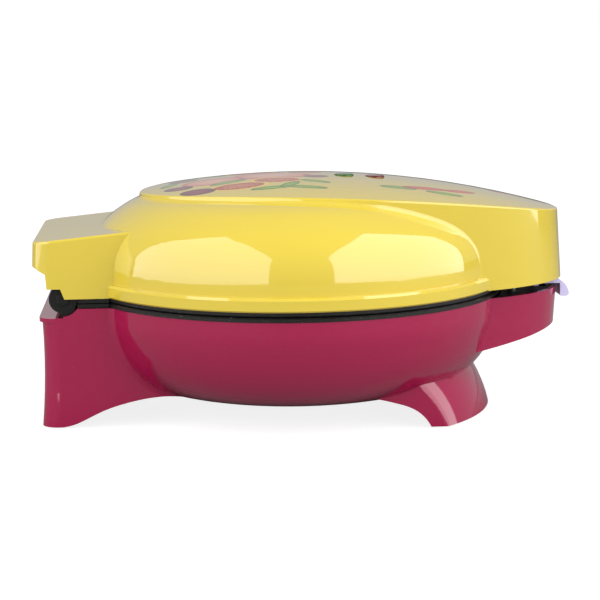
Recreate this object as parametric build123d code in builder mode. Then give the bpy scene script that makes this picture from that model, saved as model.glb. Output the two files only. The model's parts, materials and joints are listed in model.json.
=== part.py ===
from build123d import *
import os
from math import cos, radians, sin, sqrt

# Waffle cone maker: a round hinged appliance with a domed lid, a bowl-shaped base on a rear leg
# and an arc-shaped front foot, two cooking plates, and a thumb latch between the two handles.
# Millimetres. X runs from the hinge to the handles, Z is up, and Z = 0 is the table.
# Heights in this file are counted from the lid's bottom edge, and X from the centre of the plates.

os.makedirs("parts", exist_ok=True)

# ---------------------------------------------------------------- driving dimensions
edge_height = 68.8  # lid's bottom edge above the table
plate_x = -6.4  # centre of the plates, so that the origin is below the middle of the whole
wall = 2.4  # moulded wall
pad_rise = 0.8  # how far the rubber pads lift the feet

rim_radius = 115.0  # lid's outer edge
ledge_height = 7.2  # top of the lid's rim band
dome_radius = 112.0  # foot of the dome, inside the rim band
dome_height = 54.0
crown_x = 30.5  # oval crown and handle column
crown_top_height = 62.0
crown_half_length = 113.9
crown_foot_half_length = 117.9
crown_half_width = 77.3
crown_foot_half_width = 71.5
crown_sphere = 520.0  # radius of the crown's surface
crown_apex = (3.0, 57.7)

rear_half_width = 55.0  # rear housing and rear leg
rear_back = -140.2  # back of the lid's housing
rear_corner = 9.0  # radius of their upright back corners
leg_back = -137.4  # back of the base's leg at the table
shelf_height = -10.0  # top of the leg behind the hinge
shelf_lip = 2.2
hinge_x = -124.5
hinge_height = -0.5
knuckle_radius = 7.4
notch_radius = 8.6
pin_radius = 2.5
running_gap = 0.05  # radial clearance of a pin in its bore

base_gap = 5.2  # black band between lid and base
bowl_radius = 113.0
bowl_depth = 60.5
base_handle_length = 115.5  # half length of the oval
base_handle_width = 64.0  # half width of the oval
base_handle_top = -5.5
base_handle_draft = 2.4
foot_half_width = 77.0
foot_radius = 107.1  # outside of the front foot at the table

plate_radius = 113.4
cooking_radius = 92.0
grid_pitch = 13.0
grid_width = 2.2
grid_height = 1.1
plate_thickness = 2.6

heater_radius = 68.0
heater_tube = 3.2

latch_x = 134.0  # lever and pivot of the thumb latch
latch_pivot = 28.0

screw_radius = 1.5
screw_hole = 1.55
plate_screw_ring = 103.3

# ---------------------------------------------------------------- shared planes and shapes
ground = -edge_height
leg_foot = ground + pad_rise
plate_axis = Axis((plate_x, 0, 0), (0, 0, 1))
side = Plane((plate_x, 0, edge_height), x_dir=(1, 0, 0), z_dir=(0, -1, 0))


def level(height, x=0.0, y=0.0):
    """Horizontal plane at a height above the lid's edge, centred x, y from the plates' centre."""
    return Plane((plate_x + x, y, edge_height + height))


def upright(x, height, y=0.0):
    """Plane across the object's width, for shapes extruded along Y."""
    return Plane((plate_x + x, y, edge_height + height), x_dir=(1, 0, 0), z_dir=(0, -1, 0))


def place(x, y, height):
    """Point in the object's frame from plate-centred coordinates."""
    return (plate_x + x, y, edge_height + height)


def turned(*outline):
    """Solid turned about the plates' axis from (radius, height) points."""
    with BuildPart() as shape:
        with BuildSketch(side):
            with BuildLine():
                Polyline(*outline, close=True)
            make_face()
        revolve(axis=plate_axis)
    return shape.part


def block(x_range, half_width, heights, rounding=0.0, y=0.0):
    """Box between two X values and two heights, with its upright corners rounded."""
    low_x, high_x = x_range
    with BuildPart() as shape:
        with BuildSketch(level(heights[0], (low_x + high_x) / 2, y)):
            if rounding:
                RectangleRounded(high_x - low_x, 2 * half_width, rounding)
            else:
                Rectangle(high_x - low_x, 2 * half_width)
        extrude(amount=heights[1] - heights[0])
    return shape.part


def post(x, y, low, high, radius):
    """Upright cylinder between two heights."""
    with BuildPart() as shape:
        with BuildSketch(level(low, x, y)):
            Circle(radius)
        extrude(amount=high - low)
    return shape.part


def barrel(x, height, low_y, high_y, radius):
    """Cylinder along Y between two Y values."""
    with BuildPart() as shape:
        with BuildSketch(upright(x, height, high_y)):
            Circle(radius)
        extrude(amount=high_y - low_y)
    return shape.part


def lengthwise(low_x, high_x, height, radius):
    """Cylinder along X between two X values, on the symmetry plane."""
    with BuildPart() as shape:
        with BuildSketch(Plane(place(low_x, 0, height), x_dir=(0, 1, 0), z_dir=(1, 0, 0))):
            Circle(radius)
        extrude(amount=high_x - low_x)
    return shape.part


def across(outline, half_width, y=0.0):
    """Slab of the given (x, height) outline, extruded along Y to both sides of y."""
    with BuildPart() as shape:
        with BuildSketch(upright(0, 0, y)):
            with BuildLine():
                Polyline(*outline, close=True)
            make_face()
        extrude(amount=half_width, both=True)
    return shape.part


def screw(x, y, face, tip, head_radius=2.6, head_depth=1.3):
    """Flat-topped screw whose head ends at face, with a cross recess, and whose shank ends at tip."""
    seat = face - head_depth if tip < face else face + head_depth
    recess = min(face, face + (seat - face) * 0.6)
    with BuildPart() as shape:
        add(post(x, y, min(face, seat), max(face, seat), head_radius))
        add(post(x, y, min(seat, tip), max(seat, tip), screw_radius))
        for length, width in ((3.0, 0.7), (0.7, 3.0)):
            cut = block((x - length / 2, x + length / 2), width / 2, (recess, recess + 0.6 * head_depth), y=y)
            add(cut, mode=Mode.SUBTRACT)
    return shape.part


def group(pieces, name):
    """Separate solids that share one node."""
    whole = Compound(children=[solid for piece in pieces for solid in piece.solids()])
    whole.label = name
    return whole


def mirrored_y(values):
    """Both sides of the symmetry plane."""
    return [(x, sign * y) for x, y in values for sign in (1, -1)]


# ---------------------------------------------------------------- outer forms, shared by walls
def dome(inset, foot):
    """Lid's dome, with its surface moved in by inset."""
    shrink_r = 1 - inset / dome_radius
    shrink_z = 1 - inset / dome_height
    meridian = ((112.0, 9.0), (110.6, 22.4), (105.0, 33.4), (95.5, 41.3), (83.5, 47.4), (55.0, 52.0))
    points = [(r * shrink_r, z * shrink_z) for r, z in meridian]
    top = dome_height - inset
    with BuildPart() as shape:
        with BuildSketch(side):
            with BuildLine():
                Spline(*points, (0, top), tangents=((0, 1), (-1, 0)))
                Polyline((0, top), (0, foot), (dome_radius - inset, foot), points[0])
            make_face()
        revolve(axis=plate_axis)
    return shape.part


def crown_column(inset, foot):
    """Oval column of the crown and the lid's handle, under the spherical crown."""
    with BuildPart() as column:
        with BuildSketch(level(foot, crown_x)):
            Ellipse(crown_foot_half_length - inset, crown_foot_half_width - inset)
        with BuildSketch(level(crown_top_height, crown_x)):
            Ellipse(crown_half_length - inset, crown_half_width - inset)
        loft()
        apex_x, apex = crown_apex
        with Locations(place(apex_x, 0, apex - inset - crown_sphere)):
            Sphere(crown_sphere, mode=Mode.INTERSECT)
    return column.part


def housing(inset, foot):
    """Lid's rear housing, with the step that lets the lid stand open against the leg."""
    back = rear_back + inset
    step = -132.6 + inset
    step_bottom = 5.4
    outline = (
        (-60.0, foot),
        (-123.6 + inset, foot),
        (-125.6 + inset, step_bottom),
        (step, step_bottom),
        (step - 0.6, 13.2 + inset),
        (back, 17.0 + inset),
        (back + 0.6, 29.8 - inset),
        (-60.0, 37.6 - inset),
    )
    with BuildPart() as shape:
        add(across(outline, rear_half_width - inset))
        corners = shape.edges().filter_by(Axis.Z, tolerance=8).group_by(Axis.X)
        fillet(corners[0], rear_corner - inset)
    return shape.part


def bowl(inset, rim):
    """Base's bowl below its rim."""
    meridian = ((113.0, -12.0), (111.2, -23.0), (106.4, -35.0), (98.0, -45.4), (84.0, -53.2), (60.0, -58.6))
    shrink_r = 1 - inset / bowl_radius
    shrink_z = 1 - inset / bowl_depth
    points = [(r * shrink_r, z * shrink_z) for r, z in meridian]
    bottom = -bowl_depth + inset
    flat = 30.0
    with BuildPart() as shape:
        with BuildSketch(side):
            with BuildLine():
                Spline(*points, (flat, bottom), tangents=((0, -1), (-1, 0)))
                Polyline((flat, bottom), (0, bottom), (0, rim), (bowl_radius - inset, rim), points[0])
            make_face()
        revolve(axis=plate_axis)
    return shape.part


def leg_underside(lift):
    """(x, height) points of the leg's swept lower edge, from the bowl to the foot."""
    curve = ((-62.0, -52.6), (-80.0, -53.4), (-94.0, -56.2), (-106.0, -60.2), (-118.0, -65.9))
    return [(x, height + lift) for x, height in curve]


def leg(inset, foot, top):
    """Rear leg: two flat sides and a hollow-curved back, over a swept lower edge."""
    back = leg_back + inset
    half_width = rear_half_width - inset
    lift = foot - leg_foot
    with BuildPart() as shape:
        with BuildSketch(side):
            with BuildLine():
                edge = Spline(*leg_underside(lift), (-126.0, foot), tangents=((-1, 0), (-1, -0.15)))
                Line((-126.0, foot), (back, foot))
                ThreePointArc((back, foot), (back + 1.9, -36.0), (back + 1.1, top))
                Polyline((back + 1.1, top), (-62.0, top), edge @ 0)
            make_face()
        extrude(amount=half_width, both=True)
        upright_edges = shape.edges().filter_by(lambda e: 40 < e.length < 80)
        fillet(upright_edges.group_by(Axis.X)[0], rear_corner - inset)
    return shape.part


def base_handle(inset, top):
    """Oval front handle of the base, with its underside rising to the tip."""
    tip = crown_x + base_handle_length
    low = -40.0
    grow = base_handle_draft * (top - base_handle_top) / (base_handle_top - low)
    with BuildPart() as shape:
        with BuildSketch(level(low, crown_x)):
            Ellipse(base_handle_length - base_handle_draft - inset, base_handle_width - inset)
        with BuildSketch(level(top, crown_x)):
            Ellipse(base_handle_length + grow - inset, base_handle_width - inset)
        loft()
        under = ((60.0, -50.0), (60.0, -38.0 + inset), (96.0, -33.4 + inset), (126.0, -28.8 + inset),
                 (tip, -25.0 + inset), (tip + 5.0, -24.0 + inset), (tip + 5.0, -50.0))
        add(across(under, 90.0), mode=Mode.SUBTRACT)
        add(block((-90.0, 60.0), 90.0, (-45.0, 5.0)), mode=Mode.SUBTRACT)
    return shape.part


def front_foot(inset):
    """Arc-shaped foot that flares to the table, between two flat sides."""
    top = -40.0
    with BuildPart() as shape:
        with BuildSketch(side):
            with BuildLine():
                flare = ThreePointArc(
                    (foot_radius - inset, leg_foot), (102.7 - inset, -54.9), (94.0 - inset, top)
                )
                Polyline(flare @ 1, (0, top), (0, leg_foot), flare @ 0)
            make_face()
        revolve(axis=plate_axis)
        add(block((0.0, 130.0), foot_half_width - inset, (leg_foot - 5, top + 5)), mode=Mode.INTERSECT)
    return shape.part


def foot_profile(lift):
    """Slab of the front foot's swept lower edge, seen from the side."""
    with BuildPart() as shape:
        with BuildSketch(side):
            with BuildLine():
                edge = Spline(
                    (30.0, -51.5 + lift), (46.5, -54.9 + lift), (57.0, -58.8 + lift), (65.5, leg_foot + lift),
                    tangents=((1, -0.1), (0.5, -1)),
                )
                Polyline(edge @ 1, (130.0, leg_foot + lift), (130.0, -38.0), (30.0, -38.0), edge @ 0)
            make_face()
        extrude(amount=90.0, both=True)
    return shape.part


# ---------------------------------------------------------------- base shell
bowl_outside = bowl(0, -base_gap)
bowl_inside = bowl(wall, 5.0)
foot_outside = front_foot(0)
foot_inside = front_foot(wall)
leg_outside = leg(0, leg_foot, -base_gap)
leg_inside = leg(wall, leg_foot - 0.01, 5.0)

plate_screws = [
    (plate_screw_ring * cos(radians(turn)), plate_screw_ring * sin(radians(turn))) for turn in (45, 135, 225, 315)
]
hinge_screws = mirrored_y([(-109.0, 42.0)])
base_deck_screws = mirrored_y([(119.0, 15.0)])
lid_deck_screws = mirrored_y([(118.0, 26.0)])
cover_screws = mirrored_y([(-103.0, 40.0)])
base_deck_top = base_handle_top - 0.3
base_deck_low = base_deck_top - 2.1
seam_radius = 5.0

with BuildPart() as bowl_and_leg:
    add(bowl_outside)
    add(leg_outside)
    seams = bowl_and_leg.edges().filter_by(
        lambda e: abs(abs(e.center().Y) - rear_half_width) < 0.5 and plate_x - 105 < e.center().X < plate_x - 80
    )
    fillet(seams.filter_by(lambda e: e.center().Z > edge_height - 48), seam_radius)
    add(block((leg_back, -105.0), rear_half_width, (shelf_height - shelf_lip, shelf_height), rounding=rear_corner))
    add(block((-150.0, hinge_x), 60.0, (shelf_height, 10.0)), mode=Mode.SUBTRACT)
    add(barrel(hinge_x, hinge_height, -60.0, 60.0, notch_radius), mode=Mode.SUBTRACT)

with BuildPart() as leg_hollow:
    add(leg_inside)
    add(block((-150.0, -127.0), 60.0, (shelf_height - wall, 10.0)), mode=Mode.SUBTRACT)
    for x, y in hinge_screws:
        add(post(x, y, -40.0, -base_gap, 4.0), mode=Mode.SUBTRACT)
    for x, y in cover_screws:
        add(post(x, y, -54.0, -14.0, 3.6), mode=Mode.SUBTRACT)
    add(bowl_outside, mode=Mode.SUBTRACT)

with BuildPart() as base_hollow:
    add(bowl_inside)
    add(base_handle(wall, 5.0))
    for x, y in plate_screws:
        add(post(x, y, -70.0, -base_gap, 4.0), mode=Mode.SUBTRACT)
    for x, y in base_deck_screws:
        add(post(x, y, -50.0, base_deck_low - 0.1, 3.6), mode=Mode.SUBTRACT)

with BuildPart() as foot_walls:
    add(foot_outside)
    add(foot_profile(0), mode=Mode.INTERSECT)
    foot_corners = foot_walls.edges().filter_by(
        lambda e: 30 < e.length < 40 and e.center().X > plate_x + 60
    )
    fillet(foot_corners, 4.0)
    add(foot_inside, mode=Mode.SUBTRACT)

foot_pad_places = mirrored_y([(-129.0, 38.0), (91.0, 36.0)])
inlet_height = -48.0
wire_height = -24.0

inlet_floor = -133.7
inlet_inner = -129.4

with BuildPart() as base_shell:
    add(bowl_and_leg.part)
    add(base_handle(0, base_handle_top))
    add(foot_walls.part)
    add(leg_hollow.part, mode=Mode.SUBTRACT)
    add(base_hollow.part, mode=Mode.SUBTRACT)
    add(post(0, 0, -base_gap, 5.0, plate_radius + 0.5), mode=Mode.SUBTRACT)
    for x, y in foot_pad_places:
        add(post(x, y, leg_foot, -58.0, 4.6))
        add(post(x, y, leg_foot, leg_foot + 2.5, 3.1), mode=Mode.SUBTRACT)
    for x, y in plate_screws + hinge_screws + base_deck_screws:
        add(post(x, y, -20.0, 0.0, screw_hole), mode=Mode.SUBTRACT)
    for x, y in cover_screws:
        add(post(x, y, -60.0, -38.0, screw_hole), mode=Mode.SUBTRACT)
    add(lengthwise(inlet_floor - 1.0, inlet_inner, inlet_height, 11.0))
    add(lengthwise(-150.0, inlet_floor, inlet_height, 8.3), mode=Mode.SUBTRACT)
    add(lengthwise(-150.0, -120.0, inlet_height, 6.2), mode=Mode.SUBTRACT)
    add(lengthwise(-118.0, -88.0, wire_height, 5.0), mode=Mode.SUBTRACT)
base_shell.part.label = "base_shell"
export_step(base_shell.part, "parts/base_shell.step")

# ---------------------------------------------------------------- rear cover, pads, mains inlet
cover_back = -129.4
with BuildPart() as rear_cover:
    with BuildSketch(side):
        with BuildLine():
            lower = Spline(*leg_underside(1.6), (-127.0, leg_foot + 1.6), tangents=((-1, 0), (-1, 0)))
            upper = Spline(*leg_underside(3.6), (-127.0, leg_foot + 3.6), tangents=((-1, 0), (-1, 0)))
            Line(lower @ 0, upper @ 0)
            Polyline(lower @ 1, (cover_back, leg_foot + 1.6), (cover_back, leg_foot + 3.6), upper @ 1)
        make_face()
    extrude(amount=52.3, both=True)
    add(bowl(-0.3, -base_gap), mode=Mode.SUBTRACT)
    for x, y in foot_pad_places[:2]:
        add(post(x, y, leg_foot, -50.0, 4.9), mode=Mode.SUBTRACT)
    for x, y in cover_screws:
        add(post(x, y, leg_foot, -50.0, 3.9), mode=Mode.SUBTRACT)
    with GridLocations(0, 9.0, 1, 7):
        with Locations(place(-116.0, 0, -66.0)):
            Box(6.0, 3.0, 20.0, mode=Mode.SUBTRACT)
rear_cover.part.label = "rear_cover"
export_step(rear_cover.part, "parts/rear_cover.step")

pads = []
for x, y in foot_pad_places:
    with BuildPart() as foot_pad:
        add(post(x, y, ground, leg_foot - 0.05, 4.2))
        add(post(x, y, ground, leg_foot + 2.3, 3.0))
    pads.append(foot_pad.part)
export_step(group(pads, "foot_pads"), "parts/foot_pads.step")

with BuildPart() as cord_inlet:
    with BuildSketch(Plane(place(0, 0, inlet_height), x_dir=(1, 0, 0), z_dir=(0, -1, 0))):
        with BuildLine():
            Polyline((-135.2, 3.6), (-135.2, 7.4), (-134.6, 8.0), (inlet_floor - 0.05, 8.0),
                     (inlet_floor - 0.05, 6.1), (inlet_inner + 0.05, 6.1), (inlet_inner + 0.05, 7.6),
                     (inlet_inner + 2.4, 7.6), (inlet_inner + 2.4, 3.6), close=True)
        make_face()
    revolve(axis=Axis(place(0, 0, inlet_height), (1, 0, 0)))
cord_inlet.part.label = "cord_inlet"
export_step(cord_inlet.part, "parts/cord_inlet.step")

with BuildPart() as terminal_block:
    add(block((-131.0, -120.5), 14.0, (-35.0, -22.0)))
    fillet(terminal_block.edges().filter_by(Axis.Y), 1.0)
    for y in (-9.0, 0.0, 9.0):
        add(post(-125.5, y, -25.0, -20.0, 2.4), mode=Mode.SUBTRACT)
        add(post(-125.5, y, -25.0, -23.6, 2.0))
terminal_block.part.label = "terminal_block"
export_step(terminal_block.part, "parts/terminal_block.step")


# ---------------------------------------------------------------- plates, heaters and shields
def cooking_plate(face, back_turn):
    """Round plate with a raised diamond grid; face is its flange's height, back_turn the way to its back."""
    floor = face + back_turn * 2.7
    back = floor + back_turn * plate_thickness
    flange_back = face + back_turn * 2.2
    turned_plate = turned(
        (0, floor), (cooking_radius, floor), (cooking_radius + 1.8, face), (plate_radius - 0.7, face),
        (plate_radius, face + back_turn * 0.7), (plate_radius, flange_back), (96.0, flange_back),
        (94.0, back), (0, back),
    )
    low, high = sorted((floor, floor - back_turn * grid_height))
    with BuildPart() as grid:
        with BuildSketch(level(low)):
            for turn in (45, -45):
                with Locations(Location((0, 0), turn)):
                    with GridLocations(grid_pitch, 0, 15, 1):
                        Rectangle(grid_width, 2 * cooking_radius)
            Circle(cooking_radius - 0.5, mode=Mode.INTERSECT)
        extrude(amount=high - low)
    with BuildPart() as whole:
        add(turned_plate)
        add(grid.part)
        for x, y in plate_screws:
            recess = sorted((face, face + back_turn * 1.35))
            add(post(x, y, recess[0], recess[1], 2.7), mode=Mode.SUBTRACT)
            hole = sorted((face, flange_back))
            add(post(x, y, hole[0], hole[1], screw_hole), mode=Mode.SUBTRACT)
    return whole.part


def heater(plate_back, away):
    """Tubular ring element lying on a plate's back, with two ends that turn away from the plate."""
    height = plate_back + away * (heater_tube + 0.05)
    half_gap = 28.0
    with BuildPart() as element:
        with BuildSketch(side):
            with Locations((heater_radius, height)):
                Circle(heater_tube)
        revolve(axis=plate_axis, revolution_arc=360 - 2 * half_gap)
    turned_element = element.part.rotate(plate_axis, 180 + half_gap)
    with BuildPart() as whole:
        add(turned_element)
        for sign in (1, -1):
            x = -heater_radius * cos(radians(half_gap))
            y = sign * heater_radius * sin(radians(half_gap))
            with Locations(place(x, y, height)):
                Sphere(heater_tube)
            reach = sorted((height, height + away * 11.0))
            add(post(x, y, reach[0], reach[1], heater_tube))
            pin = sorted((height, height + away * 16.0))
            add(post(x, y, pin[0], pin[1], 1.3))
    return whole.part


def element_clips(plate_back, away):
    """Three bridges that press the ring element against its plate."""
    inner = 2 * heater_tube + 0.2
    clips = []
    for turn in (0, 120, 240):
        x_axis = (cos(radians(turn)), sin(radians(turn)), 0)
        where = Plane(
            place(heater_radius * x_axis[0], heater_radius * x_axis[1], plate_back), x_dir=x_axis, z_dir=(0, 0, 1)
        )
        with BuildPart() as clip:
            with BuildSketch(Plane(where.origin, x_dir=where.x_dir, z_dir=where.y_dir)):
                with Locations((0, -away * (inner + 1.2) / 2)):
                    Rectangle(22.0, inner + 1.2)
                with Locations((0, -away * inner / 2)):
                    Rectangle(13.0, inner, mode=Mode.SUBTRACT)
            extrude(amount=4.0, both=True)
        clips.append(clip.part)
    return clips


def heat_shield(top, rim):
    """Thin metal dish over a ring element, open at the middle and round the element's ends."""
    thick = 0.8 if top > rim else -0.8
    with BuildPart() as dish:
        add(turned((16.0, top), (97.0, top), (97.0, rim), (97.8, rim), (97.8, top + thick), (16.0, top + thick)))
        for sign in (1, -1):
            x = -heater_radius * cos(radians(28.0))
            y = sign * heater_radius * sin(radians(28.0))
            low, high = sorted((top - thick, top + 2 * thick))
            add(post(x, y, low, high, 5.5), mode=Mode.SUBTRACT)
    return dish.part


lower_face = -2.9
upper_face = -2.4
lower_back = lower_face - 2.7 - plate_thickness
upper_back = upper_face + 2.7 + plate_thickness

lower_plate = cooking_plate(lower_face, -1)
lower_plate.label = "lower_plate"
export_step(lower_plate, "parts/lower_plate.step")

upper_plate = cooking_plate(upper_face, 1)
upper_plate.label = "upper_plate"
export_step(upper_plate, "parts/upper_plate.step")

lower_heater = heater(lower_back, -1)
lower_heater.label = "lower_heater"
export_step(lower_heater, "parts/lower_heater.step")

upper_heater = heater(upper_back, 1)
upper_heater.label = "upper_heater"
export_step(upper_heater, "parts/upper_heater.step")

export_step(group(element_clips(lower_back - 0.05, -1), "lower_element_clips"), "parts/lower_element_clips.step")
export_step(group(element_clips(upper_back + 0.05, 1), "upper_element_clips"), "parts/upper_element_clips.step")

lower_heat_shield = heat_shield(lower_back - 9.6, lower_face - 2.4)
lower_heat_shield.label = "lower_heat_shield"
export_step(lower_heat_shield, "parts/lower_heat_shield.step")

upper_heat_shield = heat_shield(upper_back + 9.6, upper_face + 2.4)
upper_heat_shield.label = "upper_heat_shield"
export_step(upper_heat_shield, "parts/upper_heat_shield.step")

with BuildPart() as thermostat:
    add(post(0, 0, lower_back - 7.0, lower_back - 0.1, 9.0))
    add(block((-12.0, 12.0), 5.0, (lower_back - 1.0, lower_back - 0.1), rounding=2.0))
    for x in (-4.5, 4.5):
        add(block((x - 0.4, x + 0.4), 3.2, (lower_back - 13.0, lower_back - 6.9)))
thermostat.part.label = "thermostat"
export_step(thermostat.part, "parts/thermostat.step")

with BuildPart() as thermal_fuse:
    add(barrel(-34.0, lower_back - 2.3, -7.0, 7.0, 2.1))
    fillet(thermal_fuse.edges(), 0.6)
    add(barrel(-34.0, lower_back - 2.3, -13.0, 13.0, 0.6))
thermal_fuse.part.label = "thermal_fuse"
export_step(thermal_fuse.part, "parts/thermal_fuse.step")


def wire_pair(route, radius=1.3, bend=6.0):
    """Two insulated wires, one each side of the symmetry plane, along (x, y, height) points."""
    pair = []
    for sign in (1, -1):
        points = [place(x, sign * y, height) for x, y, height in route]
        with BuildPart() as wire:
            with BuildLine() as path:
                FilletPolyline(*points, radius=bend)
            with BuildSketch(Plane(path.line @ 0, z_dir=path.line % 0)):
                Circle(radius)
            sweep()
        pair.append(wire.part)
    return pair


terminal_reach = heater_radius * sin(radians(28.0))
base_route = ((-120.3, 2.4, wire_height), (-92.0, 2.4, wire_height), (-76.0, 20.0, wire_height),
              (-62.0, terminal_reach, wire_height))
export_step(group(wire_pair(base_route), "base_wires"), "parts/base_wires.step")

lid_wire_height = upper_back + 17.5
lid_route = ((-112.0, 2.4, 14.0), (-92.0, 2.4, lid_wire_height), (-76.0, 20.0, lid_wire_height),
             (-62.0, terminal_reach, lid_wire_height))
export_step(group(wire_pair(lid_route), "lid_wires"), "parts/lid_wires.step")

# ---------------------------------------------------------------- hinge
hinge_deck_x = -117.0
plate_clearance = plate_radius + 0.5


def hinge_corners(low, high, edge):
    """Black decks beside the plate that close the band over the side walls."""
    with BuildPart() as corners:
        add(block((edge, -95.0), 53.8, (low, high)))
        add(post(0, 0, low - 1, high + 1, plate_clearance), mode=Mode.SUBTRACT)
        add(block((-100.6, -80.0), 60.0, (low - 1, high + 1)), mode=Mode.SUBTRACT)
    return corners.part


with BuildPart() as base_hinge_bracket:
    add(hinge_corners(-5.1, lower_face, hinge_deck_x))
    add(block((hinge_deck_x, -115.0), 52.2, (-13.0, lower_face)))
    add(block((-126.6, -115.0), 52.2, (-13.0, -10.8)))
    for side_sign in (1, -1):
        middle = side_sign * 41.7
        add(block((-126.4, -118.4), 9.6, (-11.0, hinge_height), y=middle))
        add(barrel(hinge_x, hinge_height, middle - 9.6, middle + 9.6, knuckle_radius))
    add(barrel(hinge_x, hinge_height, -60.0, 60.0, pin_radius + running_gap), mode=Mode.SUBTRACT)
    for x, y in hinge_screws:
        add(post(x, y, lower_face - 1.35, lower_face, 2.7), mode=Mode.SUBTRACT)
        add(post(x, y, -6.0, lower_face, screw_hole), mode=Mode.SUBTRACT)
base_hinge_bracket.part.label = "base_hinge_bracket"
export_step(base_hinge_bracket.part, "parts/base_hinge_bracket.step")

with BuildPart() as lid_hinge_bracket:
    add(hinge_corners(upper_face, -0.1, hinge_deck_x + 0.2))
    add(block((hinge_deck_x + 0.2, -114.6), 30.0, (upper_face, 9.0)))
    add(block((-129.7, -114.6), 30.0, (6.0, 9.0)))
    add(block((-129.7, -118.7), 30.0, (hinge_height, 7.0)))
    add(barrel(hinge_x, hinge_height, -31.6, 31.6, knuckle_radius))
    add(barrel(hinge_x, hinge_height, -60.0, 60.0, pin_radius + running_gap), mode=Mode.SUBTRACT)
    for x, y in hinge_screws:
        add(post(x, y, upper_face, upper_face + 1.35, 2.7), mode=Mode.SUBTRACT)
        add(post(x, y, upper_face, 1.0, screw_hole), mode=Mode.SUBTRACT)
lid_hinge_bracket.part.label = "lid_hinge_bracket"
export_step(lid_hinge_bracket.part, "parts/lid_hinge_bracket.step")

with BuildPart() as hinge_pin:
    add(barrel(hinge_x, hinge_height, -51.8, 51.8, pin_radius))
    chamfer(hinge_pin.edges(), 0.5)
hinge_pin.part.label = "hinge_pin"
export_step(hinge_pin.part, "parts/hinge_pin.step")


# ---------------------------------------------------------------- handle decks and latch
def handle_deck(centre_x, half_length, half_width, low, high):
    """Black insert that closes a handle beside the plate."""
    with BuildPart() as deck:
        with BuildSketch(level(low, centre_x)):
            Ellipse(half_length, half_width)
        extrude(amount=high - low)
        add(post(0, 0, low - 1, high + 1, plate_clearance), mode=Mode.SUBTRACT)
        add(block((-120.0, 60.0), 90.0, (low - 1, high + 1)), mode=Mode.SUBTRACT)
    return deck.part


lid_deck_low = 0.4
with BuildPart() as lid_handle_deck:
    inset = wall + 0.35
    add(handle_deck(crown_x, crown_foot_half_length - inset, crown_foot_half_width - inset, lid_deck_low, 2.4))
    for sign in (1, -1):
        add(block((latch_x - 5.0, latch_x + 5.0), 1.25, (2.0, latch_pivot), y=sign * 15.4))
        add(barrel(latch_x, latch_pivot, sign * 15.4 - 1.25, sign * 15.4 + 1.25, 5.0))
    add(barrel(latch_x, latch_pivot, -20.0, 20.0, 1.5), mode=Mode.SUBTRACT)
    add(block((latch_x - 3.5, latch_x + 5.5), 9.0, (0, 3.0)), mode=Mode.SUBTRACT)
    for x, y in lid_deck_screws:
        add(post(x, y, 0, 3.0, screw_hole), mode=Mode.SUBTRACT)
lid_handle_deck.part.label = "lid_handle_deck"
export_step(lid_handle_deck.part, "parts/lid_handle_deck.step")

with BuildPart() as base_handle_deck:
    inset = wall + 0.35
    add(handle_deck(crown_x, base_handle_length - inset, base_handle_width - inset, base_deck_low, base_deck_top))
    add(block((latch_x - 5.2, latch_x + 6.0), 9.0, (base_deck_low - 1, base_deck_top + 1)), mode=Mode.SUBTRACT)
    for x, y in base_deck_screws:
        add(post(x, y, base_deck_low - 1.0, 0.0, screw_hole), mode=Mode.SUBTRACT)
base_handle_deck.part.label = "base_handle_deck"
export_step(base_handle_deck.part, "parts/base_handle_deck.step")

tab_top = -1.6
tab_end = 151.6
tab_inner = 146.7
with BuildPart() as tab:
    with BuildSketch(side):
        with BuildLine():
            Polyline((tab_inner, tab_top - 2.2), (latch_x, tab_top - 2.2), (latch_x, tab_top), (145.2, tab_top))
            ThreePointArc((145.2, tab_top), (149.3, -4.2), (tab_end, -9.0))
            ThreePointArc((tab_end, -9.0), (tab_end - 0.4, -10.6), (tab_end - 1.9, -11.2))
            Polyline((tab_end - 1.9, -11.2), (tab_inner + 0.6, -11.2), (tab_inner, -10.6),
                     (tab_inner, tab_top - 2.2))
        make_face()
    extrude(amount=12.0, both=True)

with BuildPart() as latch:
    lever = ((latch_x - 1.5, latch_pivot), (latch_x - 1.5, -7.0), (latch_x - 4.8, -8.2), (latch_x - 4.8, -9.8),
             (latch_x + 1.5, -11.0), (latch_x + 1.5, latch_pivot))
    add(across(lever, 8.0))
    add(tab.part)
    for low_y in (-13.6, 5.0):
        add(barrel(latch_x, latch_pivot, low_y, low_y + 8.6, 3.6))
    add(barrel(latch_x, latch_pivot, -4.9, 4.9, 4.4), mode=Mode.SUBTRACT)
    add(barrel(latch_x, latch_pivot, -20.0, 20.0, 1.5 + running_gap), mode=Mode.SUBTRACT)
latch.part.label = "latch"
export_step(latch.part, "parts/latch.step")

with BuildPart() as latch_pin:
    add(barrel(latch_x, latch_pivot, -17.4, 17.4, 1.45))
    chamfer(latch_pin.edges(), 0.3)
latch_pin.part.label = "latch_pin"
export_step(latch_pin.part, "parts/latch_pin.step")

coil_pitch = 1.1
coil_count = 8
with BuildPart() as latch_spring:
    add(barrel(latch_x, latch_pivot, -coil_pitch * coil_count / 2, coil_pitch * coil_count / 2, 2.4))
    for turn in range(coil_count):
        start = coil_pitch * (turn - coil_count / 2) + 0.1
        add(barrel(latch_x, latch_pivot, start, start + 0.9, 2.9))
    add(barrel(latch_x, latch_pivot, -6.0, 6.0, 1.7), mode=Mode.SUBTRACT)
latch_spring.part.label = "latch_spring"
export_step(latch_spring.part, "parts/latch_spring.step")

# ---------------------------------------------------------------- lid shell and indicator lamps
lamp_places = {"lens_ready": 28.0, "lens_power": 45.0}
lamp_board_height = 38.0
lens_seat = 0.5
dome_seam_radius = 2.5


def crown_height(x):
    """Height of the crown's surface on the symmetry plane."""
    apex_x, apex = crown_apex
    return apex - crown_sphere + sqrt(crown_sphere**2 - (x - apex_x) ** 2)


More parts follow.
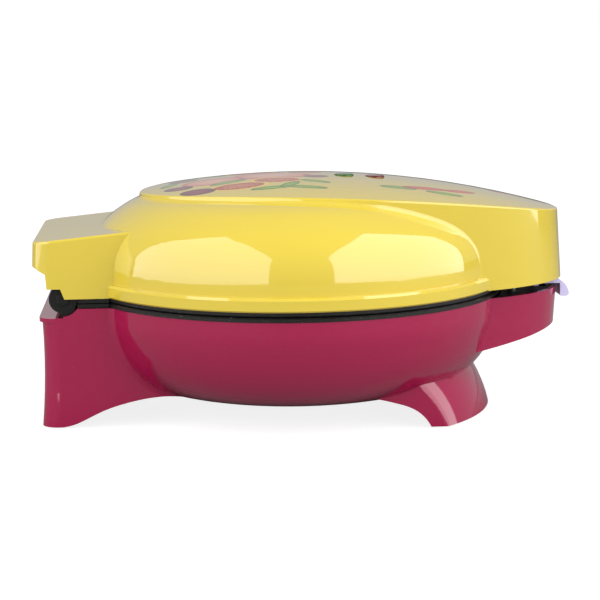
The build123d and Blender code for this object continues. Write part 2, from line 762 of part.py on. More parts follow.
with BuildPart() as lid_hollow:
    add(dome(wall, -1.0))
    add(crown_column(wall, -1.0))
    add(housing(wall, -1.0))
    add(block((-132.6 + wall, -110.0), rear_half_width - wall, (-1.0, 20.0)))
    for x, y in plate_screws + hinge_screws:
        add(post(x, y, 0.0, 60.0, 4.0), mode=Mode.SUBTRACT)
    for x, y in lid_deck_screws:
        add(post(x, y, 2.5, 60.0, 3.6), mode=Mode.SUBTRACT)
    add(post(36.5, 0, lamp_board_height + 1.6, 60.0, 3.0), mode=Mode.SUBTRACT)

with BuildPart() as crowned_dome:
    add(dome(0, 0))
    add(crown_column(0, 0))
    crown_edges = crowned_dome.edges().filter_by(lambda e: e.length > 140)
    seam = crown_edges.filter_by(lambda e: e.center().Z < edge_height + 49).filter_by(
        lambda e: e.center().X < plate_x - 70
    )
    fillet(seam, dome_seam_radius)
    top_edges = crowned_dome.edges().filter_by(lambda e: e.length > 100 and e.center().Z > edge_height + 49.5)
    fillet(top_edges, 1.0)

with BuildPart() as rear_housing:
    add(housing(0, 0))
    top_edges = rear_housing.edges().filter_by(
        lambda e: e.center().Z > edge_height + 28 and e.center().X < plate_x - 61
    )
    fillet(top_edges, 1.3)

with BuildPart() as lid_shell:
    add(crowned_dome.part)
    add(turned(
        (0, 0), (rim_radius - 0.8, 0), (rim_radius, 0.8), (rim_radius, ledge_height - 1.4),
        (rim_radius - 1.2, ledge_height - 0.2), (dome_radius - 1.0, ledge_height + 0.3), (0, ledge_height + 0.3),
    ))
    add(rear_housing.part)
    add(lid_hollow.part, mode=Mode.SUBTRACT)
    for x, y in plate_screws + hinge_screws + lid_deck_screws:
        add(post(x, y, -1.0, 14.0, screw_hole), mode=Mode.SUBTRACT)
    for x in lamp_places.values():
        add(post(x, 0, 45.0, 70.0, 4.1), mode=Mode.SUBTRACT)
        add(post(x, 0, crown_height(x) - lens_seat, 70.0, 5.55), mode=Mode.SUBTRACT)
lid_shell.part.label = "lid_shell"
export_step(lid_shell.part, "parts/lid_shell.step")

bulbs = []
for name, x in lamp_places.items():
    seat = crown_height(x) - lens_seat + 0.05
    with BuildPart() as lens:
        add(post(x, 0, seat - 9.0, seat + 0.1, 4.0))
        add(post(x, 0, seat, seat + 1.2, 5.4))
        fillet(lens.edges().group_by(Axis.Z)[-1], 0.9)
    lens.part.label = name
    export_step(lens.part, "parts/" + name + ".step")
    with BuildPart() as bulb:
        add(post(x, 0, lamp_board_height + 1.7, lamp_board_height + 7.5, 2.5))
        fillet(bulb.edges().group_by(Axis.Z)[-1], 1.5)
    bulbs.append(bulb.part)
export_step(group(bulbs, "indicator_lamps"), "parts/indicator_lamps.step")

with BuildPart() as lamp_board:
    add(block((19.0, 54.0), 7.0, (lamp_board_height, lamp_board_height + 1.5), rounding=2.0))
lamp_board.part.label = "lamp_board"
export_step(lamp_board.part, "parts/lamp_board.step")

# ---------------------------------------------------------------- screws
base_screws = [screw(x, y, lower_face - 0.05, -18.0) for x, y in plate_screws + hinge_screws]
base_screws += [screw(x, y, base_deck_top + 1.35, -18.0) for x, y in base_deck_screws]
base_screws += [screw(x, y, -55.4, -40.0) for x, y in cover_screws]
export_step(group(base_screws, "base_screws"), "parts/base_screws.step")

lid_screws = [screw(x, y, upper_face + 0.05, 12.0) for x, y in plate_screws + hinge_screws]
lid_screws += [screw(x, y, lid_deck_low - 1.35, 12.0) for x, y in lid_deck_screws]
export_step(group(lid_screws, "lid_screws"), "parts/lid_screws.step")
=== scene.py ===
import json
import math

import bmesh
import bpy
from mathutils import Matrix, Vector


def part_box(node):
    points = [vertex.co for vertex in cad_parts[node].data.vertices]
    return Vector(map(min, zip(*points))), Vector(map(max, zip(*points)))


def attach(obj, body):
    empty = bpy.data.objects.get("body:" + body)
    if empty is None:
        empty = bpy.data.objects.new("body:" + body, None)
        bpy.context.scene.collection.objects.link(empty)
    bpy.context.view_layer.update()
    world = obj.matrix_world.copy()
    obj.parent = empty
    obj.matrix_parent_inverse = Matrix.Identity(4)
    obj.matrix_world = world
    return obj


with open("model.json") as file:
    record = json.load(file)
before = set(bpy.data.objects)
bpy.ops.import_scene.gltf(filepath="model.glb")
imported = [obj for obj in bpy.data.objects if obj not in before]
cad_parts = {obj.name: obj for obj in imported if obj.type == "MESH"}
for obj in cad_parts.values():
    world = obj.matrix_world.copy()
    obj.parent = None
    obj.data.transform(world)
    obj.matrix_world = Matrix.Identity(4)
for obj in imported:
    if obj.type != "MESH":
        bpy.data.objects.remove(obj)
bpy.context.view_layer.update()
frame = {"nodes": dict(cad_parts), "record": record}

nodes = frame["nodes"]
mm = 0.001

# The plates' centre and the lid's bottom edge: every place below is counted from them.
plate_low, plate_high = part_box("lower_plate")
plate_x = (plate_low.x + plate_high.x) / 2
lid_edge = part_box("lid_shell")[0].z

bpy.context.scene.view_settings.view_transform = "Standard"


# ---------------------------------------------------------------- camera, floor and light
def aim_camera(azimuth, elevation, roll, distance, lens, target):
    """Camera that looks at target, turned a little about its own axis."""
    a, e, r = (math.radians(angle) for angle in (azimuth, elevation, roll))
    back = Vector((math.sin(a) * math.cos(e), -math.cos(a) * math.cos(e), math.sin(e)))
    right = Vector((math.cos(a), math.sin(a), 0))
    up = back.cross(right)
    turned_right = right * math.cos(r) + up * math.sin(r)
    turned_up = up * math.cos(r) - right * math.sin(r)
    data = bpy.data.cameras.new("camera")
    data.lens = lens
    data.clip_start = 0.05
    camera = bpy.data.objects.new("camera", data)
    place = Matrix((turned_right, turned_up, back)).transposed().to_4x4()
    place.translation = target + back * distance
    camera.matrix_world = place
    bpy.context.scene.collection.objects.link(camera)
    bpy.context.scene.camera = camera
    return camera


def link(obj):
    bpy.context.scene.collection.objects.link(obj)
    return obj


def add_floor(size):
    """Large plain table top under the object."""
    mesh = bpy.data.meshes.new("floor")
    half = size / 2
    corners = [(-half, -half, 0), (half, -half, 0), (half, half, 0), (-half, half, 0)]
    mesh.from_pydata(corners, [], [(0, 1, 2, 3)])
    floor = link(bpy.data.objects.new("floor", mesh))
    mesh.materials.append(floor_material())


def panel(x, y_range, height, radiance):
    """Tall diffusing panel at one side, from the table up, that shows as a clear-edged reflection."""
    data = bpy.data.lights.new("side_panel", "AREA")
    data.shape = "RECTANGLE"
    data.size, data.size_y = y_range[1] - y_range[0], height
    data.energy = radiance * math.pi * data.size * data.size_y
    light = link(bpy.data.objects.new("side_panel", data))
    light.location = (x, (y_range[0] + y_range[1]) / 2, height / 2)
    light.rotation_euler = Vector((-x, 0, 0)).to_track_quat("-Z", "Y").to_euler()
    return light


def studio_world(seen, light):
    """Pale backdrop: one tone where the camera looks past the floor, a dimmer one as light."""
    world = bpy.data.worlds.new("studio")
    bpy.context.scene.world = world
    world.use_nodes = True
    shader = Shader(world.node_tree)
    back = world.node_tree.nodes["Background"]
    direct = shader.node("ShaderNodeLightPath").outputs["Is Camera Ray"]
    shader.feed(back.inputs["Color"], shader.mix(direct, (*light, 1), (*seen, 1)))


# ---------------------------------------------------------------- shader building
def rgb(red, green, blue):
    """Linear colour from 0-255 display values."""
    def channel(value):
        level = value / 255
        return level / 12.92 if level <= 0.04045 else ((level + 0.055) / 1.055) ** 2.4
    return (channel(red), channel(green), channel(blue), 1)


class Shader:
    """Small helper that adds and joins nodes in one material or node group."""

    def __init__(self, tree):
        self.tree = tree

    def node(self, kind, inputs=None, **settings):
        made = self.tree.nodes.new(kind)
        for key, value in settings.items():
            setattr(made, key, value)
        for key, value in (inputs or {}).items():
            self.feed(made.inputs[key], value)
        return made

    def feed(self, socket, value):
        if isinstance(value, bpy.types.NodeSocket):
            self.tree.links.new(value, socket)
        else:
            socket.default_value = value

    def math(self, operation, first, second=0.0, clamp=False):
        return self.node(
            "ShaderNodeMath", {0: first, 1: second}, operation=operation, use_clamp=clamp
        ).outputs[0]

    def ramp(self, value, low, high):
        """0 below low, 1 above high, smooth between."""
        made = self.node(
            "ShaderNodeMapRange", {"Value": value, "From Min": low, "From Max": high},
            interpolation_type="SMOOTHSTEP",
        )
        return made.outputs["Result"]

    def mix(self, amount, first, second):
        made = self.node("ShaderNodeMix", data_type="RGBA")
        for socket, value in ((made.inputs[0], amount), (made.inputs[6], first), (made.inputs[7], second)):
            self.feed(socket, value)
        return made.outputs[2]

    def noise(self, where, scale, detail=3.0, roughness=0.5):
        made = self.node(
            "ShaderNodeTexNoise", {"Vector": where, "Scale": scale, "Detail": detail, "Roughness": roughness}
        )
        return made.outputs["Fac"]


def new_group(name, inputs, outputs):
    """Node group with named sockets; returns the tree, a Shader and its input and output nodes."""
    tree = bpy.data.node_groups.new(name, "ShaderNodeTree")
    for title, kind, value in inputs:
        socket = tree.interface.new_socket(title, in_out="INPUT", socket_type=kind)
        socket.default_value = value
    for title, kind in outputs:
        tree.interface.new_socket(title, in_out="OUTPUT", socket_type=kind)
    shader = Shader(tree)
    return tree, shader, tree.nodes.new("NodeGroupInput"), tree.nodes.new("NodeGroupOutput")


FLOAT, COLOUR, VECTOR = "NodeSocketFloat", "NodeSocketColor", "NodeSocketVector"


def surface_life_group():
    """Faint handling marks: cloudy tone, fine scratches, dust and a moulding ripple."""
    tree, shader, given, out = new_group(
        "surface_life",
        [
            ("Colour", COLOUR, (0.5, 0.5, 0.5, 1)),
            ("Roughness", FLOAT, 0.2),
            ("Cloud", FLOAT, 0.04),
            ("Scratches", FLOAT, 0.1),
            ("Ripple", FLOAT, 0.1),
            ("Dust", FLOAT, 0.05),
        ],
        [("Colour", COLOUR), ("Roughness", FLOAT), ("Height", FLOAT)],
    )
    where = shader.node("ShaderNodeTexCoord").outputs["Object"]
    cloud = shader.noise(where, scale=14.0, detail=4.0, roughness=0.6)
    tone = shader.math("MULTIPLY", shader.math("SUBTRACT", cloud, 0.5), given.outputs["Cloud"])
    bright = shader.node(
        "ShaderNodeHueSaturation",
        {"Color": given.outputs["Colour"], "Value": shader.math("ADD", 1.0, tone)},
    ).outputs["Color"]
    stretched = shader.node("ShaderNodeMapping", {"Vector": where, "Scale": (22.0, 520.0, 160.0)}).outputs[0]
    line = shader.noise(stretched, scale=1.0, detail=2.0, roughness=0.4)
    patch = shader.ramp(shader.noise(where, scale=30.0, detail=2.0), low=0.52, high=0.66)
    scratch = shader.math("MULTIPLY", shader.ramp(line, low=0.66, high=0.72), patch)
    speck = shader.ramp(shader.noise(where, scale=900.0, detail=1.0), low=0.73, high=0.78)
    dust = shader.math("MULTIPLY", speck, given.outputs["Dust"])
    dusty = shader.mix(dust, bright, (0.75, 0.72, 0.68, 1))
    worn = shader.math("MULTIPLY", scratch, given.outputs["Scratches"])
    smear = shader.math("MULTIPLY", shader.ramp(cloud, low=0.45, high=0.8), 0.05)
    rough = shader.math("ADD", given.outputs["Roughness"], shader.math("ADD", worn, smear))
    rough = shader.math("ADD", rough, shader.math("MULTIPLY", dust, 0.6), clamp=True)
    wavy = shader.noise(where, scale=55.0, detail=1.0, roughness=0.3)
    ripple = shader.math("MULTIPLY", wavy, given.outputs["Ripple"])
    height = shader.math("SUBTRACT", ripple, shader.math("MULTIPLY", scratch, 0.05))
    shader.feed(out.inputs["Colour"], dusty)
    shader.feed(out.inputs["Roughness"], rough)
    shader.feed(out.inputs["Height"], height)
    return tree


def grain_group():
    """Fine all-over grain, for spark-eroded plastic, rubber and cast metal."""
    tree, shader, given, out = new_group(
        "fine_grain",
        [("Scale", FLOAT, 600.0), ("Roughness", FLOAT, 0.5), ("Spread", FLOAT, 0.1)],
        [("Roughness", FLOAT), ("Height", FLOAT)],
    )
    where = shader.node("ShaderNodeTexCoord").outputs["Object"]
    grain = shader.noise(where, given.outputs["Scale"], detail=4.0, roughness=0.65)
    centred = shader.math("SUBTRACT", grain, 0.5)
    change = shader.math("MULTIPLY", centred, given.outputs["Spread"])
    shader.feed(out.inputs["Roughness"], shader.math("ADD", given.outputs["Roughness"], change))
    shader.feed(out.inputs["Height"], grain)
    return tree


surface_life = surface_life_group()
fine_grain = grain_group()


def principled(name, **constants):
    """Material with a Principled shader whose fixed values sit on its own sockets."""
    material = bpy.data.materials.new(name)
    material.use_nodes = True
    shader = Shader(material.node_tree)
    bsdf = material.node_tree.nodes["Principled BSDF"]
    for key, value in constants.items():
        bsdf.inputs[key.replace("_", " ")].default_value = value
    return material, shader, bsdf


def bump(shader, bsdf, height, strength, distance):
    made = shader.node("ShaderNodeBump", {"Height": height, "Strength": strength, "Distance": distance})
    shader.feed(bsdf.inputs["Normal"], made.outputs[0])


def apply_group(shader, group, **inputs):
    """Adds a node group to a material and sets its inputs by name."""
    made = shader.node("ShaderNodeGroup", node_tree=group)
    for title, value in inputs.items():
        shader.feed(made.inputs[title.replace("_", " ")], value)
    return made


def marked(name, colour, roughness, life, **constants):
    """Material with handling marks; life sets its cloud, scratches, ripple and dust."""
    material, shader, bsdf = principled(name, **constants)
    cloud, scratches, ripple, dust = life
    marks = apply_group(
        shader, surface_life, Colour=colour, Roughness=roughness, Cloud=cloud, Scratches=scratches,
        Ripple=ripple, Dust=dust,
    )
    shader.feed(bsdf.inputs["Base Color"], marks.outputs["Colour"])
    shader.feed(bsdf.inputs["Roughness"], marks.outputs["Roughness"])
    return material, shader, bsdf, marks


def polished(name, colour, roughness, life, **constants):
    """Polished moulded plastic: handling marks with a slight orange peel."""
    material, shader, bsdf, marks = marked(name, colour, roughness, life, **constants)
    bump(shader, bsdf, marks.outputs["Height"], strength=0.05, distance=0.4 * mm)
    return material, shader, bsdf, marks


def grained(name, colour, roughness, scale, strength, spread=0.2, life=(0.2, 0.3, 0.3, 0.15), **constants):
    """Material with a fine surface grain over the handling marks."""
    material, shader, bsdf, marks = marked(name, colour, roughness, life, **constants)
    grain = apply_group(shader, fine_grain, Scale=scale, Roughness=marks.outputs["Roughness"], Spread=spread)
    shader.feed(bsdf.inputs["Roughness"], grain.outputs["Roughness"])
    bump(shader, bsdf, grain.outputs["Height"], strength, distance=0.3 * mm)
    return material


def floor_material():
    """Plain pale table top."""
    material, shader, bsdf = principled("table_top", Specular_IOR_Level=0.15)
    where = shader.node("ShaderNodeTexCoord").outputs["Object"]
    tone = shader.mix(shader.noise(where, scale=3.0), (0.30, 0.30, 0.30, 1), (0.33, 0.33, 0.33, 1))
    rough = shader.ramp(shader.noise(where, scale=40.0), low=-0.5, high=1.1)
    shader.feed(bsdf.inputs["Base Color"], tone)
    shader.feed(bsdf.inputs["Roughness"], rough)
    glow = shader.math("MULTIPLY", shader.node("ShaderNodeLightPath").outputs["Is Camera Ray"], 0.84)
    bsdf.inputs["Emission Color"].default_value = (1, 1, 1, 1)
    shader.feed(bsdf.inputs["Emission Strength"], glow)
    return material


# ---------------------------------------------------------------- printed crown
def blob_group():
    """Soft-edged ellipse on the lid's top, turned by an angle, with a wavy outline."""
    tree, shader, given, out = new_group(
        "printed_shape",
        [
            ("Across", VECTOR, (0, 0, 0)),
            ("Place", VECTOR, (0, 0, 0)),
            ("Turn", FLOAT, 0.0),
            ("Length", FLOAT, 0.01),
            ("Width", FLOAT, 0.01),
            ("Waves", FLOAT, 0.1),
        ],
        [("Mask", FLOAT), ("Rim", FLOAT), ("Inner", FLOAT)],
    )
    moved = shader.node(
        "ShaderNodeVectorMath", {0: given.outputs["Across"], 1: given.outputs["Place"]}, operation="SUBTRACT"
    ).outputs[0]
    back_turn = shader.math("MULTIPLY", given.outputs["Turn"], -1.0)
    turned = shader.node(
        "ShaderNodeVectorRotate", {"Vector": moved, "Angle": back_turn}, rotation_type="Z_AXIS"
    ).outputs[0]
    split = shader.node("ShaderNodeSeparateXYZ", {0: turned})
    along = shader.math("DIVIDE", split.outputs[0], given.outputs["Length"])
    beside = shader.math("DIVIDE", split.outputs[1], given.outputs["Width"])
    squared = shader.math("ADD", shader.math("POWER", along, 2.0), shader.math("POWER", beside, 2.0))
    reach = shader.math("SQRT", squared)
    wave = shader.math("SUBTRACT", shader.noise(given.outputs["Across"], scale=260.0, detail=2.0), 0.5)
    reach = shader.math("ADD", reach, shader.math("MULTIPLY", wave, given.outputs["Waves"]))
    inside = shader.ramp(reach, low=1.03, high=0.97)
    shader.feed(out.inputs["Mask"], inside)
    ring = shader.math("MULTIPLY", shader.ramp(reach, low=0.78, high=0.86), inside)
    shader.feed(out.inputs["Rim"], ring)
    shader.feed(out.inputs["Inner"], shader.ramp(reach, low=0.75, high=0.2))
    return tree


def print_grain_group():
    """Mottling and seeds inside a printed shape."""
    tree, shader, given, out = new_group(
        "print_mottle",
        [("Across", VECTOR, (0, 0, 0)), ("Scale", FLOAT, 200.0)],
        [("Mottle", FLOAT), ("Seeds", FLOAT)],
    )
    mottle = shader.noise(given.outputs["Across"], given.outputs["Scale"], detail=3.0, roughness=0.6)
    cells = shader.node(
        "ShaderNodeTexVoronoi", {"Vector": given.outputs["Across"], "Scale": 420.0, "Randomness": 0.6}
    ).outputs["Distance"]
    shader.feed(out.inputs["Mottle"], mottle)
    shader.feed(out.inputs["Seeds"], shader.ramp(cells, low=0.28, high=0.16))
    return tree


printed_shape = blob_group()
print_mottle = print_grain_group()


# Fill, inner and rim colour of each kind of printed shape.
BERRY, TOMATO, LEAF, CHILLI, PEACH = "berry", "tomato", "leaf", "chilli", "peach"
PRINT_COLOURS = {
    BERRY: (rgb(104, 16, 38), rgb(150, 52, 70), rgb(66, 10, 28)),
    TOMATO: (rgb(168, 62, 40), rgb(206, 128, 84), rgb(228, 190, 70)),
    LEAF: (rgb(104, 142, 14), rgb(150, 178, 44), rgb(62, 104, 8)),
    CHILLI: (rgb(188, 52, 30), rgb(214, 98, 62), rgb(140, 26, 20)),
    PEACH: (rgb(214, 140, 120), rgb(232, 190, 160), rgb(190, 92, 80)),
}
# Printed shapes: kind, x and y of the middle from the plates' centre (mm), turn (degrees), half length and
# half width (mm), waviness of the outline.
PRINTS = (
    (PEACH, -12, 2, -10, 22, 17, 0.12),
    (PEACH, -44, -6, 20, 18, 14, 0.12),
    (TOMATO, -31, -34, 14, 17, 11, 0.10),
    (TOMATO, -10, -20, -10, 15, 10, 0.10),
    (TOMATO, -22, 26, 0, 15, 12, 0.10),
    (TOMATO, 8, 18, 24, 13, 9, 0.10),
    (BERRY, -53, -39, 8, 9.5, 8.5, 0.06),
    (BERRY, -63, -20, 0, 8, 7.0, 0.06),
    (BERRY, -60, 14, 0, 8.5, 7.5, 0.06),
    (BERRY, -38, 42, 0, 9, 8, 0.06),
    (BERRY, 12, -8, 0, 7, 6, 0.06),
    (LEAF, -14, -45, 14, 12, 4.2, 0.35),
    (LEAF, 4, -46, -22, 12, 4.0, 0.35),
    (LEAF, -4, -37, 62, 10, 3.8, 0.35),
    (LEAF, -36, -17, 35, 12, 4.2, 0.35),
    (LEAF, -68, 0, 70, 10, 3.8, 0.35),
    (LEAF, 10, -28, -40, 10, 3.6, 0.35),
    (LEAF, 2, 38, 40, 12, 4.0, 0.35),
    (LEAF, -46, 30, -30, 12, 4.0, 0.35),
    (LEAF, 53, -40, -6, 10, 4.4, 0.20),
    (CHILLI, 68, -35, 10, 13, 4.6, 0.12),
    (LEAF, 77, -45, -8, 10, 4.0, 0.20),
    (CHILLI, 87, -31, 24, 10, 4.2, 0.12),
    (CHILLI, 74, 28, -18, 13, 4.6, 0.12),
    (LEAF, 86, 36, -18, 10, 4.0, 0.20),
    (LEAF, 60, 34, 20, 9, 3.8, 0.20),
    (CHILLI, 115, 4, 10, 7, 3.6, 0.12),
)


def crown_print(shader, ground):
    """Ground colour with the printed shapes laid over it in plan, and the mask of their ink."""
    where = shader.node("ShaderNodeTexCoord").outputs["Object"]
    split = shader.node("ShaderNodeSeparateXYZ", {0: where})
    across = shader.node("ShaderNodeCombineXYZ", {0: split.outputs[0], 1: split.outputs[1]}).outputs[0]
    grain = apply_group(shader, print_mottle, Across=across, Scale=200.0)
    colour = ground
    ink = None
    for kind, x, y, turn, length, width, waves in PRINTS:
        shape = apply_group(
            shader, printed_shape, Across=across, Place=(plate_x + x * mm, y * mm, 0),
            Turn=math.radians(turn), Length=length * mm, Width=width * mm, Waves=waves,
        )
        fill, inner, rim = PRINT_COLOURS[kind]
        mottled = shader.math("MULTIPLY", shape.outputs["Inner"], grain.outputs["Mottle"])
        body = shader.mix(mottled, fill, inner)
        if kind == TOMATO:
            seeds = shader.math("MULTIPLY", grain.outputs["Seeds"], 0.7)
            body = shader.mix(seeds, body, rim)
        body = shader.mix(shape.outputs["Rim"], body, rim)
        mask = shape.outputs["Mask"]
        colour = shader.mix(mask, colour, body)
        ink = mask if ink is None else shader.math("MAXIMUM", ink, mask)
    return colour, ink


# ---------------------------------------------------------------- materials by slot
def lid_material():
    """Yellow polished plastic with the print on the crown, duller where there is ink."""
    gloss_coat, coat_lost_on_ink, ink_roughness = 0.8, 0.55, 0.06
    material, shader, bsdf, marks = polished(
        "lid_yellow", LID_YELLOW, roughness=0.055, life=(0.05, 0.05, 1.0, 0.03), Specular_IOR_Level=0.7,
        Coat_Roughness=0.03,
    )
    colour, ink = crown_print(shader, marks.outputs["Colour"])
    shader.feed(bsdf.inputs["Base Color"], colour)
    dulling = shader.math("MULTIPLY", ink, ink_roughness)
    dulled = shader.math("ADD", marks.outputs["Roughness"], dulling)
    shader.feed(bsdf.inputs["Roughness"], dulled)
    varnish = shader.math("SUBTRACT", gloss_coat, shader.math("MULTIPLY", ink, coat_lost_on_ink))
    shader.feed(bsdf.inputs["Coat Weight"], varnish)
    return material


def plate_material():
    """Non-stick coating: near-black, with fine pale flecks and rubbed spots."""
    material, shader, bsdf, marks = marked(
        "non_stick_coating", rgb(24, 23, 22), roughness=0.34, life=(0.5, 0.6, 0.4, 0.2),
        Specular_IOR_Level=0.3,
    )
    flecks = apply_group(shader, metal_flecks, Colour=marks.outputs["Colour"], Scale=1500.0)
    grain = apply_group(shader, fine_grain, Scale=900.0, Roughness=marks.outputs["Roughness"], Spread=0.3)
    shader.feed(bsdf.inputs["Base Color"], flecks.outputs["Colour"])
    shader.feed(bsdf.inputs["Roughness"], grain.outputs["Roughness"])
    bump(shader, bsdf, grain.outputs["Height"], strength=0.12, distance=0.2 * mm)
    return material


def metal_flecks_group():
    """Sparse pale specks in a dark coating."""
    tree, shader, given, out = new_group(
        "metal_flecks", [("Colour", COLOUR, (0, 0, 0, 1)), ("Scale", FLOAT, 1000.0)], [("Colour", COLOUR)]
    )
    where = shader.node("ShaderNodeTexCoord").outputs["Object"]
    cells = shader.node("ShaderNodeTexVoronoi", {"Vector": where, "Scale": given.outputs["Scale"]})
    near = shader.ramp(cells.outputs["Distance"], low=0.22, high=0.12)
    chosen = shader.math("GREATER_THAN", shader.node(
        "ShaderNodeSeparateColor", {0: cells.outputs["Color"]}
    ).outputs[0], 0.7)
    speck = shader.math("MULTIPLY", near, shader.math("MULTIPLY", chosen, 0.45))
    shader.feed(out.inputs["Colour"], shader.mix(speck, given.outputs["Colour"], rgb(150, 150, 150)))
    return tree


def heat_tint_group():
    """Straw and blue-grey tints where a heated metal sheath has coloured."""
    tree, shader, given, out = new_group(
        "heat_tint", [("Colour", COLOUR, (0.5, 0.5, 0.5, 1)), ("Amount", FLOAT, 0.5)], [("Colour", COLOUR)]
    )
    where = shader.node("ShaderNodeTexCoord").outputs["Object"]
    amount = given.outputs["Amount"]
    straw = shader.math("MULTIPLY", shader.ramp(shader.noise(where, scale=26.0), low=0.4, high=0.62), amount)
    blued = shader.ramp(shader.noise(where, scale=17.0, detail=2.0), low=0.55, high=0.7)
    blue = shader.math("MULTIPLY", blued, amount)
    tinted = shader.mix(straw, given.outputs["Colour"], rgb(150, 118, 82))
    shader.feed(out.inputs["Colour"], shader.mix(blue, tinted, rgb(88, 92, 108)))
    return tree


def metal(name, colour, roughness, stretch, tint=0.0):
    """Drawn or rolled metal, with grain along one way and optional heat tint."""
    material, shader, bsdf, marks = marked(name, colour, roughness, life=(0.3, 0.5, 0.3, 0.1), Metallic=1.0)
    tinted = apply_group(shader, heat_tint, Colour=marks.outputs["Colour"], Amount=tint)
    brushed = apply_group(shader, brushed_grain, Stretch=stretch, Roughness=marks.outputs["Roughness"])
    shader.feed(bsdf.inputs["Base Color"], tinted.outputs["Colour"])
    shader.feed(bsdf.inputs["Roughness"], brushed.outputs["Roughness"])
    bump(shader, bsdf, brushed.outputs["Height"], strength=0.08, distance=0.1 * mm)
    return material


def brushed_grain_group():
    """Fine lines along X, Y or Z, as the stretch vector says."""
    tree, shader, given, out = new_group(
        "brushed_grain", [("Stretch", VECTOR, (900.0, 40.0, 900.0)), ("Roughness", FLOAT, 0.3)],
        [("Roughness", FLOAT), ("Height", FLOAT)],
    )
    where = shader.node("ShaderNodeTexCoord").outputs["Object"]
    stretch = given.outputs["Stretch"]
    stretched = shader.node("ShaderNodeMapping", {"Vector": where, "Scale": stretch}).outputs[0]
    lines = shader.noise(stretched, scale=1.0, detail=3.0, roughness=0.6)
    change = shader.math("MULTIPLY", shader.math("SUBTRACT", lines, 0.5), 0.25)
    shader.feed(out.inputs["Roughness"], shader.math("ADD", given.outputs["Roughness"], change, clamp=True))
    shader.feed(out.inputs["Height"], lines)
    return tree


def clear_plastic(name, colour, transmission, roughness=0.08, **constants):
    """Tinted see-through plastic or glass with faint handling marks."""
    life = (0.08, 0.25, 0.4, 0.08)
    acrylic_index = 1.49
    return polished(
        name, colour, roughness, life, Transmission_Weight=transmission, IOR=acrylic_index, **constants
    )[0]


metal_flecks = metal_flecks_group()
heat_tint = heat_tint_group()
brushed_grain = brushed_grain_group()

LID_YELLOW = rgb(215, 191, 58)
BASE_PINK = rgb(153, 3, 63)

MATERIALS = {
    "lid_plastic": lid_material(),
    "base_plastic": polished(
        "base_pink", BASE_PINK, roughness=0.06, life=(0.06, 0.05, 1.0, 0.03), Specular_IOR_Level=0.5,
        Coat_Weight=0.5, Coat_Roughness=0.03,
    )[0],
    "dark_plastic": grained(
        "black_plastic", rgb(17, 17, 15), roughness=0.42, scale=700.0, strength=0.2, Specular_IOR_Level=0.3
    ),
    "pad_rubber": grained("black_rubber", rgb(34, 33, 33), roughness=0.72, scale=500.0, strength=0.3),
    "ivory_plastic": grained("ivory_plastic", rgb(226, 216, 190), roughness=0.4, scale=500.0, strength=0.1),
    "plate_coating": plate_material(),
    "element_sheath": metal(
        "element_sheath", rgb(132, 126, 120), roughness=0.42, stretch=(300.0, 300.0, 300.0), tint=0.7
    ),
    "sheet_steel": metal("sheet_steel", rgb(186, 186, 188), roughness=0.34, stretch=(900.0, 40.0, 900.0)),
    "shield_metal": metal(
        "bright_aluminium", rgb(206, 207, 210), roughness=0.3, stretch=(40.0, 900.0, 900.0), tint=0.15
    ),
    "screw_steel": metal("plated_steel", rgb(176, 176, 172), roughness=0.28, stretch=(400.0, 400.0, 400.0)),
    "thermostat_body": grained(
        "thermostat_ceramic", rgb(231, 228, 220), roughness=0.5, scale=600.0, strength=0.15
    ),
    "wire_sleeve": grained("fibre_sleeve", rgb(214, 208, 192), roughness=0.8, scale=1400.0, strength=0.5),
    "latch_plastic": clear_plastic("lilac_plastic", rgb(222, 216, 255), transmission=0.05, roughness=0.12),
    "lens_green": clear_plastic("green_lens", rgb(54, 118, 44), transmission=0.5),
    "lens_red": clear_plastic("red_lens", rgb(122, 22, 26), transmission=0.5),
    "lamp_glass": clear_plastic("lamp_glass", rgb(240, 200, 150), transmission=0.8, roughness=0.05),
    "lamp_board_plastic": grained(
        "white_plastic", rgb(222, 220, 212), roughness=0.45, scale=600.0, strength=0.1
    ),
}

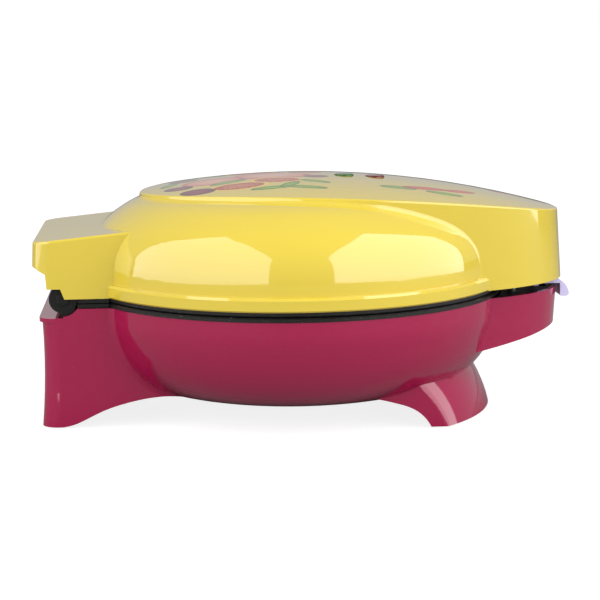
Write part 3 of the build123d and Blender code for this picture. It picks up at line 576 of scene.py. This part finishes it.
for subpart in frame["record"]["subparts"]:
    mesh = nodes[subpart["node"]].data
    mesh.materials.clear()
    mesh.materials.append(MATERIALS[subpart["material_slot"]])


# ---------------------------------------------------------------- end caps of the hinge pin
def lathed(name, profile, axis_place, sides=48):
    """Mesh turned about an axis along Y from (radius, distance along Y) points."""
    made = bmesh.new()
    rings = []
    for radius, reach in profile:
        ring = []
        for step in range(sides):
            turn = 2 * math.pi * step / sides
            place = axis_place + Vector((radius * math.cos(turn), reach, radius * math.sin(turn)))
            ring.append(made.verts.new(place))
        rings.append(ring)
    for first, second in zip(rings, rings[1:]):
        for step in range(sides):
            after = (step + 1) % sides
            made.faces.new((first[step], first[after], second[after], second[step]))
    made.faces.new(rings[0])
    made.faces.new(rings[-1])
    bmesh.ops.recalc_face_normals(made, faces=made.faces)
    mesh = bpy.data.meshes.new(name)
    made.to_mesh(mesh)
    made.free()
    return link(bpy.data.objects.new(name, mesh))


pin_low, pin_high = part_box("hinge_pin")
pin_axis = Vector(((pin_low.x + pin_high.x) / 2, 0, (pin_low.z + pin_high.z) / 2))
# Radius and height above the pin's end, in millimetres.
cap_outline = [(3.4, -0.3), (3.5, 0.2), (3.2, 0.45), (1.2, 0.55), (0.4, 0.5)]
for end, way in ((pin_low.y, -1), (pin_high.y, 1)):
    profile = [(radius * mm, end + way * reach * mm) for radius, reach in cap_outline]
    cap = lathed("hinge_cap_" + ("near" if way < 0 else "far"), profile, pin_axis)
    cap.data.materials.append(MATERIALS["dark_plastic"])
    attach(cap, "base")

# ---------------------------------------------------------------- studio
looked_at = Vector((plate_x + 3 * mm, 0, lid_edge - 12 * mm))
aim_camera(azimuth=-4, elevation=9.2, roll=-0.7, distance=1.0, lens=108, target=looked_at)
add_floor(size=30.0)
studio_world(seen=(1.0, 1.0, 1.0), light=(0.47, 0.47, 0.48))
panel_reach = (-3.2, 0.15)
panel_height = 2.6
panel(-1.0, panel_reach, panel_height, radiance=1.85)
panel(1.0, panel_reach, panel_height, radiance=2.35)
